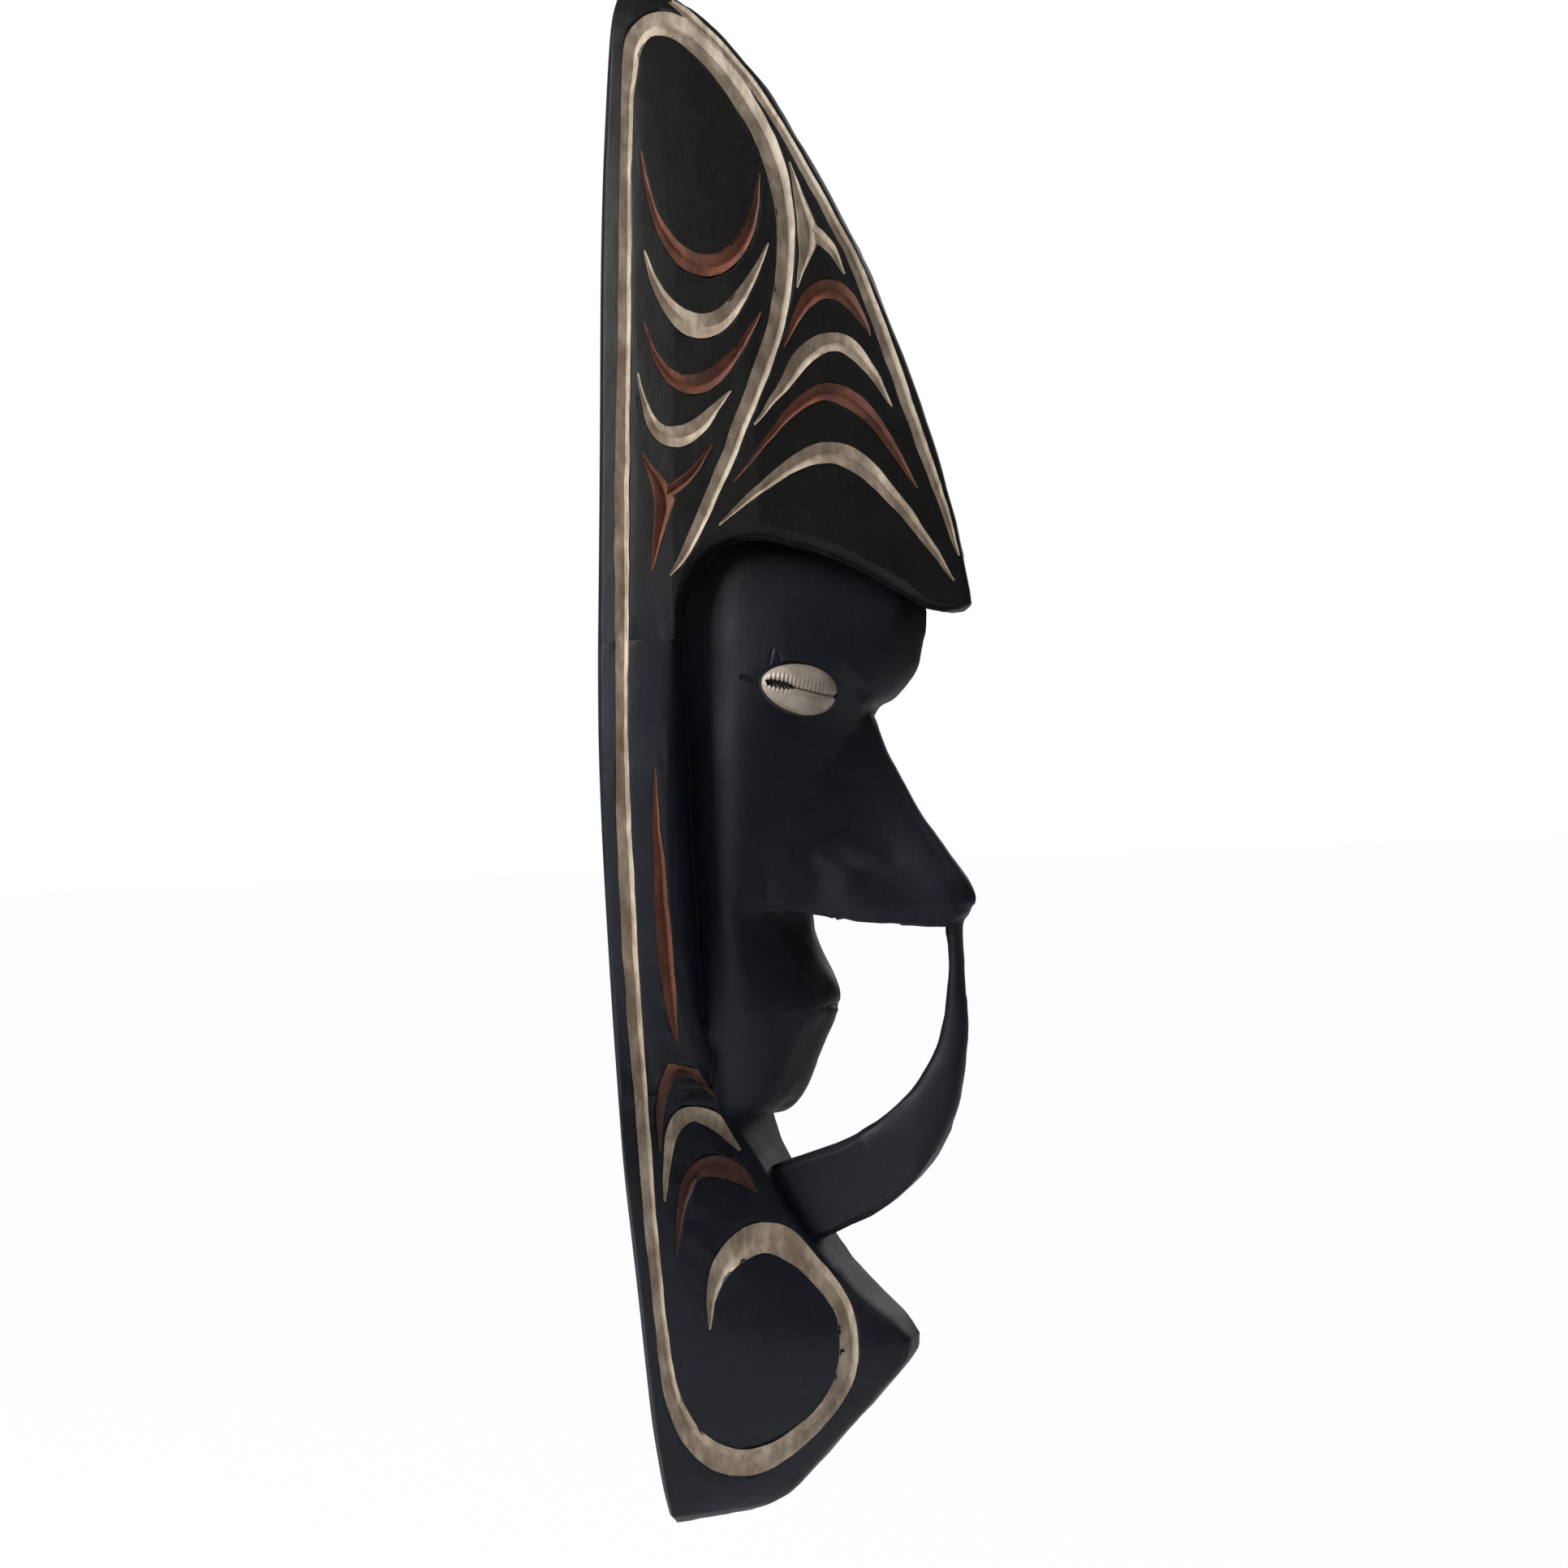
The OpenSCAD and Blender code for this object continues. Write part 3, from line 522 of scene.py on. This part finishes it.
# %% Round the board
TRIANGLES_KEPT = 0.80
board = welded("carved_body")
before = len(board.faces)
join_flat(board, 12, 50)
print("joined", before, "->", len(board.faces))
board = rounded(board, "board", wood_crease, keep=TRIANGLES_KEPT)
print("board has", sum(len(face.verts) - 2 for face in board.faces), "triangles")

# %% [markdown]
# ## Sanding
#
# Sanding moves each point part of the way to the middle of its neighbours, again and
# again. Only blunt points are sanded, so knife edges survive. The upper lip, between mouth
# and nose, is sanded for longer, and the chin once more but only from side to side. Two
# faint level lines cross the flanges, where one length of the board ends and the next
# begins. They are sanded from side to side too, but never on the rim or on a channel's
# edge. Straightening does the same for a sharp edge: each point moves towards the middle
# of its two neighbours on that edge, so that the line doesn't wander.

# %% Which points are blunt
BLUNT, SHARP = math.radians(25), math.radians(30)


def turns(vert):
    """How far the faces turn at each edge round a point, in radians."""
    return [edge.calc_face_angle(0) for edge in vert.link_edges]


def blunt(vert):
    return max(turns(vert)) < BLUNT


def on_a_line(vert):
    """True if a line that isn't blunt runs up or down through the point."""
    runs = [edge.verts[0].co - edge.verts[1].co for edge in vert.link_edges]
    return any(turn > BLUNT and abs(run.z) > run.length / 2
               for turn, run in zip(turns(vert), runs))


def face_points(bm, low, high, reach_from):
    """Blunt points of the face between two heights and forward of a reach, in mm."""
    found = []
    for vert in bm.verts:
        reach, height = reach_height(vert.co)
        if low < height < high and reach > reach_from and in_face(vert.co) and blunt(vert):
            found.append(vert)
    return found


print("a point is blunt where no edge turns more than", round(math.degrees(BLUNT)), "degrees")

# %% Ways to sand
def sand(bm, verts, times, across_only=False):
    for _ in range(times):
        bmesh.ops.smooth_vert(bm, verts=verts, factor=0.5, use_axis_x=True,
                              use_axis_y=not across_only, use_axis_z=not across_only)


def straighten(verts, times):
    """Moves points of sharp edges halfway to the middle of their neighbours on the edge."""
    lines = []
    for vert in verts:
        sharp = sorted((edge for edge in vert.link_edges
                        if edge.calc_face_angle(0) > SHARP),
                       key=lambda edge: -edge.calc_face_angle(0))
        if len(sharp) in (2, 3):
            lines.append((vert, *(edge.other_vert(vert) for edge in sharp[:2])))
    for _ in range(times):
        places = [vert.co / 2 + (one.co + other.co) / 4 for vert, one, other in lines]
        for (vert, _one, _other), place in zip(lines, places):
            vert.co = place
    return len(lines)


print("an edge is straightened where it turns more than", round(math.degrees(SHARP)), "degrees")

# %% Sand the board
SANDED = [
    # place, lowest and highest, forward of, all in mm, then times and only across or not
    ("face", 90, 204, 20, 14, False),
    ("upper lip", 119, 141, 20, 26, False),
    ("chin", 105, 119, 22, 20, True),
]
SEAMS, SEAM_HALF, SEAM_TIMES = (101.7, 204.95), 2.5, 30
SEAM_FRONT, SEAM_BACK = -22 * MM, -0.5 * MM
STRAIGHT_FROM, STRAIGHT_TIMES = 38, 16
seam_verts = [vert for vert in board.verts if SEAM_FRONT < vert.co.y < SEAM_BACK
              and min(abs(reach_height(vert.co)[1] - seam) for seam in SEAMS) < SEAM_HALF
              and not on_a_line(vert)]
for place, low, high, reach_from, times, across_only in SANDED:
    verts = face_points(board, low, high, reach_from)
    sand(board, verts, times, across_only)
    print("sanded", len(verts), "points of the", place)
sand(board, seam_verts, SEAM_TIMES, across_only=True)
nose_verts = [vert for vert in board.verts
              if reach_height(vert.co)[0] > STRAIGHT_FROM and in_face(vert.co)]
print("sanded", len(seam_verts), "points of the flanges and straightened",
      straighten(nose_verts, STRAIGHT_TIMES), "points of sharp edges")

# %% [markdown]
# ## Small forms
#
# The nose wing ends in a small ridge with a hollow above it, and the upper eyelid swells
# faintly towards the nose, with a hollow under it. Each is a bell of less than a millimetre
# round a short line. Forms so faint are easier to raise on the finished surface than to
# cut into the solid. The tie's root is drawn slimmer than in the solid, so that it runs
# into the chest more softly.

# %% Ridges, hollows and the tie's root
def near_line(point, start, end):
    """Distance from a point to a line between two points, all as (reach, height) in mm."""
    along = end - start
    part = share((point - start).dot(along), 0, along.length_squared)
    return (point - start - along * part).length


def bell(distance, width):
    return math.exp(-(distance / width) ** 2)


FORMS = [
    # start and end as (reach, height), width and rise, all in mm
    (Vector((43.8, 153.8)), Vector((50.5, 149.5)), 1.9, 0.85),
    (Vector((48, 159)), Vector((58, 153)), 3.2, -0.6),
    (Vector((51, 198)), Vector((57, 191)), 2.4, 0.5),
    (Vector((50.5, 194)), Vector((54.5, 188)), 2.0, -0.45),
]
FORMS_BACK = -24 * MM
ROOT_SHARE, ROOT_END, ROOT_START = 0.64, 31, 60
ROOT_LOW, ROOT_HIGH, ROOT_BACK, TIE_HALF = 56, 96, 21, 6.7 * MM


def modelled(point):
    """Rise of the small forms of nose wing and eyelid, in metres."""
    if not in_face(point) or point.y > FORMS_BACK:
        return 0
    here = Vector(reach_height(point))
    return MM * sum(rise * bell(near_line(here, start, end), width)
                    for start, end, width, rise in FORMS)


def tie_slimmed(point):
    """The x of a point once the tie grows slimmer towards the chest."""
    reach, high = reach_height(point)
    if ROOT_LOW < high < ROOT_HIGH and reach > ROOT_BACK and abs(point.x) < TIE_HALF:
        return point.x * (ROOT_SHARE + (1 - ROOT_SHARE) * share(reach, ROOT_END, ROOT_START))
    return point.x


print("small forms:", len(FORMS))

# %% [markdown]
# Now the board is finished in order: mark its hollow corners for the wood finish, slim
# the tie, let the hand stray, raise the small forms, and keep the knife's edges sharp. A
# search tree of the finished board is kept, because the paint is laid on it next.

# %% Finish the carved board
HOLLOW_FROM, HOLLOW_TO = math.radians(4), math.radians(10)
board.normal_update()
valley_layer = board.verts.layers.float.new("valley")
for vert in board.verts:
    lowest = min(edge.calc_face_angle_signed(0) for edge in vert.link_edges)
    vert[valley_layer] = share(-lowest, HOLLOW_FROM, HOLLOW_TO)
for vert in board.verts:
    vert.co.x = tie_slimmed(vert.co)
    vert.co += hand_waver(vert.co) + vert.normal * modelled(vert.co)
shade(board, limit=32)
board_tree = BVHTree.FromBMesh(board)
piece(board, "carved_wood", wood, ["carved_body"])

# %% [markdown]
# ## Paint in the channels
#
# The carver's lines are long curves, but the CAD paint is cut from short straight runs.
# Its triangles are joined to four-sided faces, its rims and the bottom of the channel are
# creased so that they stay crisp, and rounding bends the runs into curves. The paint is as
# thin as a knife's edge at its rims. So its underside is first pressed into the wood, and
# any top point that the wood would still hide by less than a brushstroke is lifted.

# %% Keep paint on top of the wood
CLEAR, HIDDEN, OUTSIDE = 0.05 * MM, 0.7 * MM, 8 * MM


def lift_over_wood(vert, side):
    """Lifts a point that the wood would hide by less than a brushstroke."""
    out = Vector((side, 0, 0))
    hit = board_tree.ray_cast(vert.co + out * OUTSIDE, -out)[0]
    if hit and -CLEAR < (hit.x - vert.co.x) * side < HIDDEN:
        vert.co.x = hit.x + side * CLEAR


print("paint shows at least", round(CLEAR / MM, 2), "mm where the wood would just hide it")

# %% Paint layers
PRESSED, RAISED = 0.45 * MM, 0.16 * MM
UNDERSIDE, OUTWARD = 0.05, 0.1
RIM_TURN = math.radians(42)


def paint_layer(node, name, finish, side):
    bm = welded(node)
    bm.normal_update()
    under = [vert for vert in bm.verts
             if all(face.normal.x * side < UNDERSIDE for face in vert.link_faces)]
    for vert in under:
        vert.co.x -= side * PRESSED
    join_flat(bm, 38, 60)
    bm = rounded(bm, name, lambda edge: float(edge.calc_face_angle(3) > RIM_TURN))
    for vert in bm.verts:
        vert.co += Vector((side * RAISED, 0, 0)) + hand_waver(vert.co)
        if vert.normal.x * side > OUTWARD:
            lift_over_wood(vert, side)
    shade(bm, limit=40)
    piece(bm, name, finish, [node])


for word, side in (("left", 1), ("right", -1)):
    paint_layer("lime_inlay_" + word, "lime_layer_" + word, lime, side)
    paint_layer("ochre_inlay_" + word, "ochre_layer_" + word, ochre, side)

# %% [markdown]
# ## Cowrie eyes
#
# The shell lies with its slit outwards. It starts as a sphere whose poles are the shell's
# two ends. One function then gives each point its place: an egg outline, two lips that
# roll in towards the slit, ribs across the upper lip and teeth on the lower one. The
# sphere's points are drawn together near the slit, where the detail is.

# %% Shell sizes and the eye's place
LENGTH, WIDTH, THICK = 17.8 * MM, 11.6 * MM, 9.0 * MM
YAW, DROP = math.radians(30), math.radians(14)


def eye_place(side):
    """The move that takes a shell from the workbench to its socket."""
    return (Matrix.Translation((side * EYE.x, EYE.y, EYE.z))
            @ Matrix.Rotation(side * (math.radians(90) - YAW), 4, "Z")
            @ Matrix.Rotation(math.radians(90), 4, "X")
            @ Matrix.Rotation(side * DROP, 4, "Z")
            @ Matrix.Diagonal((side, 1, 1, 1)))


print("eye height in mm:", round(EYE.z / MM, 1))

# %% Slit, lips and ribs
RIB_PITCH, TOOTH = 0.92, 0.32
LIP_WIDTH, LIP_DROP, SLIT_DROP, RIB_DROP = 0.95, 0.6, 1.5, 0.16
SLIT_END, SLIT_BLUR = 0.9, 0.07
UPPER_RIBS, LOWER_RIBS = 1.9, 0.7


def slit_half(u):
    """Half the slit's width along the shell, from the front end at -1 to the rear at 1."""
    wide = 0.56 * share(u, 0.14, 0.40) * share(SLIT_END - u, 0, 0.10)
    notch = 0.5 * math.exp(-((u + 0.99) / 0.055) ** 2)
    return (0.12 + wide + notch) * MM if u < SLIT_END else 0


def shell_point(u, turn):
    """Place, depth in the slit and rib valley of the point at u along and turn around."""
    full = math.sqrt(max(0, 1 - u * u))
    ring = full * (1 - 0.14 * u)
    x = u * LENGTH / 2
    y = ring * math.cos(turn) * WIDTH / 2
    z = ring ** 0.9 * math.sin(turn) * THICK / 2 if ring > 0 else 0
    if z <= 0 or full < 0.05:
        return Vector((x, y, z)), 0.0, 0.0
    slit_line = (-0.45 + 0.25 * math.sin(u * 2.0)) * MM * full
    off = y - slit_line
    upper = off > 0
    wave = math.cos(x / MM * 2 * math.pi / RIB_PITCH)
    half = slit_half(u)
    if abs(u) < SLIT_END:
        half *= 1 + (TOOTH * wave if off < 0 else -TOOTH * wave)
    gap = (abs(off) - half) / MM
    cut = 1 / (1 + math.exp(min(40, max(-40, gap / SLIT_BLUR))))
    roll = 0.95 * math.exp(-(max(0, gap) / LIP_WIDTH) ** 1.3) * min(1, full * 1.5)
    rib_length = UPPER_RIBS if upper else LOWER_RIBS
    fade = math.exp(-(max(0, gap) / rib_length) ** 2) * (1 - cut)
    fade *= min(1, max(0, (0.9 - abs(u + 0.05)) * 3))
    ribs = (0.5 - 0.5 * wave) * fade * (1 if upper else 0.7)
    slit = cut * SLIT_DROP * share(half, 0.05 * MM, 0.45 * MM)
    lowered = roll * LIP_DROP + slit + ribs * RIB_DROP
    depth = cut * (0.55 + 0.45 * share(half, 0.1 * MM, 0.4 * MM)) + roll * 0.12
    return Vector((x, y, z - lowered * MM)), min(1, depth), ribs


print("widest slit in mm:", round(2 * slit_half(0.6) / MM, 2))

# %% Make both shells
SHELL_STEPS = 176
QUARTER = math.pi / 2


def moved_round(turn, above):
    """A new place round the shell: above, points crowd at the slit, and below they thin out."""
    swing = turn - QUARTER
    if above > 0:
        return QUARTER + swing * (0.22 + 0.78 * (abs(swing) / QUARTER) ** 1.6)
    if above < 0:
        return turn + 0.55 * math.sin(2 * swing) / 2
    return turn


def cowrie(word, side):
    bm = bmesh.new()
    bmesh.ops.create_uvsphere(bm, u_segments=SHELL_STEPS, v_segments=SHELL_STEPS, radius=1,
                              matrix=Matrix.Rotation(math.radians(90), 4, "Y"))
    depth_layer = bm.verts.layers.float.new("slit_depth")
    rib_layer = bm.verts.layers.float.new("rib_valley")
    for vert in bm.verts:
        u = max(-1, min(1, vert.co.x))
        turn = moved_round(math.atan2(vert.co.z, vert.co.y), vert.co.z)
        vert.co, vert[depth_layer], vert[rib_layer] = shell_point(u, turn)
    bmesh.ops.transform(bm, matrix=eye_place(side), verts=bm.verts)
    if side < 0:
        bmesh.ops.reverse_faces(bm, faces=bm.faces)
    shade(bm)
    piece(bm, "cowrie_shell_" + word, shell, ["cowrie_" + word])


for word, side in (("left", 1), ("right", -1)):
    cowrie(word, side)

# %% [markdown]
# ## Gum round the shells
#
# The gum is a thin ring between the shell and its socket. The CAD ring has the right
# shape, so a welded copy that strays with the wood round it is enough.

# %% Gum rings
for word in ("left", "right"):
    ring = welded("eye_putty_" + word)
    for vert in ring.verts:
        vert.co += hand_waver(vert.co)
    shade(ring, limit=40)
    piece(ring, "gum_ring_" + word, gum, ["eye_putty_" + word])

# %% [markdown]
# ## Studio
#
# The mask hangs from its nail hole over a pale floor. The floor is lit like any other, so
# shadows fall on it, but the camera's own rays see it almost white. The world behind is
# white in the same way, while the light that it gives stays low.

# %% Floor
FLOOR_DROP, FLOOR_WHITE = 0.09, 0.975
paper = Finish("floor", (0.8, 0.8, 0.8))
paper.set(Base_Color=(0.86, 0.86, 0.86, 1), Roughness=0.9)
glow = paper.node("ShaderNodeEmission", {}, {"Color": (1, 1, 1, 1)})
paper.feed(paper.tree.nodes["Material Output"].inputs["Surface"],
           paper.white_for_camera(Wire(paper, paper.shader.outputs[0]), glow, FLOOR_WHITE))
bm = bmesh.new()
bmesh.ops.create_grid(bm, x_segments=8, y_segments=8, size=6,
                      matrix=Matrix.Translation((0, 0, cad_box[0][2] - FLOOR_DROP)))
sheet = bpy.data.meshes.new("floor")
bm.to_mesh(sheet)
bm.free()
sheet.materials.append(paper.material)
floor = bpy.data.objects.new("floor", sheet)
bpy.context.scene.collection.objects.link(floor)
print("floor at", round(cad_box[0][2] - FLOOR_DROP, 3), "m")

# %% World
world = bpy.data.worlds.new("studio")
bpy.context.scene.world = world
world.use_nodes = True
sky = Network(world.node_tree)
soft = sky.tree.nodes["Background"]
sky.feed(soft.inputs["Color"], (0.93, 0.96, 1.0, 1))
sky.feed(soft.inputs["Strength"], 0.12)
white = sky.node("ShaderNodeBackground", {}, {"Color": (1, 1, 1, 1), "Strength": 1.0})
sky.feed(sky.tree.nodes["World Output"].inputs["Surface"],
         sky.white_for_camera(Wire(sky, soft.outputs[0]), white, 1.0))
print("world strength", round(soft.inputs["Strength"].default_value, 2))

# %% [markdown]
# Black satin wood shows its form almost only through soft reflections. So the window, a
# broad lamp, stands behind and above the back edge, where it catches the channel walls. A
# cooler lamp lifts the chest and foot from below. A faint one in front lights the brow and
# the top of the nose, and one beyond the far side lays a sheen on the chest's sloped front.

# %% Lamps
LAMPS = [
    # name, place, size in metres, watts, colour
    ("window", (-0.75, 0.72, 0.50), 0.6, 26, (0.96, 0.98, 1)),
    ("low_fill", (-0.70, 0.55, -0.80), 0.6, 9, (0.50, 0.72, 1)),
    ("top_fill", (-0.10, -0.75, 0.80), 0.5, 2.5, (0.95, 0.97, 1)),
    ("right_fill", (1.00, -0.22, 0.20), 0.6, 2.4, (0.92, 0.96, 1)),
]
for name, place, size, energy, colour in LAMPS:
    light = bpy.data.lights.new(name, "AREA")
    light.size = size
    light.energy = energy
    light.color = colour
    lamp = bpy.data.objects.new(name, light)
    lamp.location = place
    lamp.rotation_euler = (aim - Vector(place)).to_track_quat("-Z", "Y").to_euler()
    bpy.context.scene.collection.objects.link(lamp)
bpy.context.scene.view_settings.view_transform = "Standard"
print("lamps placed:", len(LAMPS))
